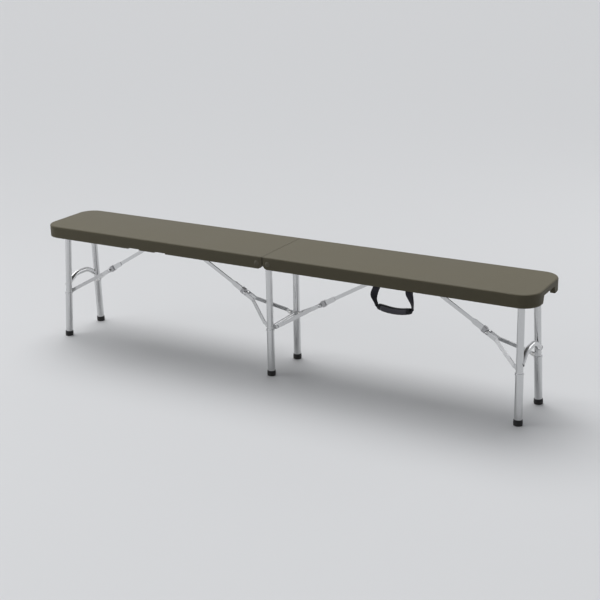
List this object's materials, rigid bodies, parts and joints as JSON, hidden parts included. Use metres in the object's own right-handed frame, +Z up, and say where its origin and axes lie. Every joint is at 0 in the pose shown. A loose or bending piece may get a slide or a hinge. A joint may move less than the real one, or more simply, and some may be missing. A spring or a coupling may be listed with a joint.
{
  "type": "folding bench",
  "caption": "Long narrow moulded bench seat that folds in half at the middle, on tubular leg frames with knee braces and rubber feet, with a webbing carry handle on its side.",
  "frame": {"origin": "on the floor, under the middle of the seam between the two seat halves", "axes": "+X along the seat towards the half with the carry handle, +Y across the seat away from the handle's side, +Z up"},
  "size_m": [1.83, 0.2608, 0.422],
  "materials": {
    "seat_plastic": "fine matt grain",
    "leg_paint": "satin grey powder coat",
    "bracket_steel": "zinc plated",
    "fastener_steel": "zinc plated",
    "foot_rubber": "matt",
    "pin_paint": "matt paint in the seat's colour",
    "ring_steel": "dull zinc plated",
    "strap_webbing": "woven webbing",
    "grip_fabric": "wrapped fabric"
  },
  "bodies": {
    "root": {"centre_brace_studs": "fastener_steel", "centre_brace_tabs": "leg_paint", "centre_cross_tube": "leg_paint", "centre_far_lower_leg": "leg_paint", "centre_far_upper_leg": "leg_paint", "centre_foot_caps": "foot_rubber", "centre_header": "leg_paint", "centre_near_lower_leg": "leg_paint", "centre_near_upper_leg": "leg_paint", "far_hinge_plate": "bracket_steel", "fold_pins": "pin_paint", "near_hinge_plate": "bracket_steel"},
    "left_half": {"left_bracket_screws": "fastener_steel", "left_leg_brackets": "bracket_steel", "left_link_brackets": "bracket_steel", "left_link_pins": "fastener_steel", "left_seat_panel": "seat_plastic"},
    "right_half": {"handle_strap_ends": "strap_webbing", "handle_strap_screws": "fastener_steel", "right_bracket_screws": "fastener_steel", "right_leg_brackets": "bracket_steel", "right_link_brackets": "bracket_steel", "right_link_pins": "fastener_steel", "right_seat_panel": "seat_plastic"},
    "left_leg_frame": {"left_end_brace_studs": "fastener_steel", "left_end_brace_tabs": "leg_paint", "left_end_cross_arch": "leg_paint", "left_end_far_lower_leg": "leg_paint", "left_end_far_upper_leg": "leg_paint", "left_end_foot_caps": "foot_rubber", "left_end_header": "leg_paint", "left_end_near_lower_leg": "leg_paint", "left_end_near_upper_leg": "leg_paint"},
    "right_leg_frame": {"right_end_brace_studs": "fastener_steel", "right_end_brace_tabs": "leg_paint", "right_end_cross_arch": "leg_paint", "right_end_far_lower_leg": "leg_paint", "right_end_far_upper_leg": "leg_paint", "right_end_foot_caps": "foot_rubber", "right_end_header": "leg_paint", "right_end_near_lower_leg": "leg_paint", "right_end_near_upper_leg": "leg_paint"},
    "left_end_link": {"left_end_knee_pin": "fastener_steel", "left_end_link": "leg_paint"},
    "right_end_link": {"right_end_knee_pin": "fastener_steel", "right_end_link": "leg_paint"},
    "left_centre_link": {"left_centre_knee_pin": "fastener_steel", "left_centre_link": "leg_paint"},
    "right_centre_link": {"right_centre_knee_pin": "fastener_steel", "right_centre_link": "leg_paint"},
    "left_end_yoke": {"left_end_brace_arms": "leg_paint"},
    "right_end_yoke": {"right_end_brace_arms": "leg_paint"},
    "left_centre_yoke": {"left_centre_brace_arms": "leg_paint"},
    "right_centre_yoke": {"right_centre_brace_arms": "leg_paint"},
    "left_end_ring": {"left_end_lock_ring": "ring_steel"},
    "right_end_ring": {"right_end_lock_ring": "ring_steel"},
    "left_centre_ring": {"left_centre_lock_ring": "ring_steel"},
    "right_centre_ring": {"right_centre_lock_ring": "ring_steel"},
    "handle": {"handle_grip": "grip_fabric", "handle_straps": "strap_webbing"}
  },
  "joints": [
    {"name": "right_fold", "type": "hinge", "parent": "root", "child": "right_half", "pos_m": [0.0205, 0, 0.3995], "axis": [0, 1, 0], "range_deg": [0, 90]},
    {"name": "right_leg_fold", "type": "hinge", "parent": "right_half", "child": "right_leg_frame", "pos_m": [0.854, 0, 0.3955], "axis": [0, 1, 0], "range_deg": [0, 91.89]},
    {"name": "right_end_link_turn", "type": "hinge", "parent": "right_half", "child": "right_end_link", "pos_m": [0.459, 0, 0.406], "axis": [0, -1, 0], "range_deg": [0, 31.04]},
    {"name": "right_end_brace_turn", "type": "hinge", "parent": "right_leg_frame", "child": "right_end_yoke", "pos_m": [0.8509, 0, 0.17028], "axis": [0, 1, 0], "range_deg": [0, 57.1]},
    {"name": "right_centre_link_turn", "type": "hinge", "parent": "right_half", "child": "right_centre_link", "pos_m": [0.415, 0, 0.397], "axis": [0, 1, 0], "range_deg": [0, 29.77]},
    {"name": "right_centre_brace_turn", "type": "hinge", "parent": "root", "child": "right_centre_yoke", "pos_m": [0.018, 0, 0.17], "axis": [0, -1, 0], "range_deg": [0, 60.25]},
    {"name": "right_end_ring_slide", "type": "slide", "parent": "right_end_link", "child": "right_end_ring", "axis": [-0.8569, 0, 0.5154], "range_m": [0, 0.02002]},
    {"name": "right_centre_ring_slide", "type": "slide", "parent": "right_centre_link", "child": "right_centre_ring", "axis": [0.8681, 0, 0.4964], "range_m": [0, 0.02002]},
    {"name": "handle_swing", "type": "hinge", "parent": "right_half", "child": "handle", "pos_m": [0.463, -0.1235, 0.3759], "axis": [-1, 0, 0], "range_deg": [0, 90.01]},
    {"name": "left_fold", "type": "hinge", "parent": "root", "child": "left_half", "pos_m": [-0.0205, 0, 0.3995], "axis": [0, -1, 0], "range_deg": [0, 90]},
    {"name": "left_leg_fold", "type": "hinge", "parent": "left_half", "child": "left_leg_frame", "pos_m": [-0.854, 0, 0.3955], "axis": [0, -1, 0], "range_deg": [0, 91.89]},
    {"name": "left_end_link_turn", "type": "hinge", "parent": "left_half", "child": "left_end_link", "pos_m": [-0.459, 0, 0.406], "axis": [0, 1, 0], "range_deg": [0, 31.04]},
    {"name": "left_end_brace_turn", "type": "hinge", "parent": "left_leg_frame", "child": "left_end_yoke", "pos_m": [-0.8509, 0, 0.17028], "axis": [0, -1, 0], "range_deg": [0, 57.1]},
    {"name": "left_centre_link_turn", "type": "hinge", "parent": "left_half", "child": "left_centre_link", "pos_m": [-0.415, 0, 0.397], "axis": [0, -1, 0], "range_deg": [0, 29.77]},
    {"name": "left_centre_brace_turn", "type": "hinge", "parent": "root", "child": "left_centre_yoke", "pos_m": [-0.018, 0, 0.17], "axis": [0, 1, 0], "range_deg": [0, 60.25]},
    {"name": "left_end_ring_slide", "type": "slide", "parent": "left_end_link", "child": "left_end_ring", "axis": [0.8569, 0, 0.5154], "range_m": [0, 0.02002]},
    {"name": "left_centre_ring_slide", "type": "slide", "parent": "left_centre_link", "child": "left_centre_ring", "axis": [-0.8681, 0, 0.4964], "range_m": [0, 0.02002]}
  ],
  "couplings": [
    {"joint": "right_leg_fold", "follows": "right_fold", "ratio": 1.0209},
    {"joint": "right_end_link_turn", "follows": "right_fold", "ratio": 0.34474},
    {"joint": "right_end_brace_turn", "follows": "right_fold", "ratio": 0.63434},
    {"joint": "right_centre_link_turn", "follows": "right_fold", "ratio": 0.33067},
    {"joint": "right_centre_brace_turn", "follows": "right_fold", "ratio": 0.66933},
    {"joint": "right_end_ring_slide", "follows": "right_fold", "m_per_rad": 0.012732},
    {"joint": "right_centre_ring_slide", "follows": "right_fold", "m_per_rad": 0.012732},
    {"joint": "handle_swing", "follows": "right_fold", "ratio": 1},
    {"joint": "left_leg_fold", "follows": "left_fold", "ratio": 1.0209},
    {"joint": "left_end_link_turn", "follows": "left_fold", "ratio": 0.34474},
    {"joint": "left_end_brace_turn", "follows": "left_fold", "ratio": 0.63434},
    {"joint": "left_centre_link_turn", "follows": "left_fold", "ratio": 0.33067},
    {"joint": "left_centre_brace_turn", "follows": "left_fold", "ratio": 0.66933},
    {"joint": "left_end_ring_slide", "follows": "left_fold", "m_per_rad": 0.012732},
    {"joint": "left_centre_ring_slide", "follows": "left_fold", "m_per_rad": 0.012732}
  ]
}
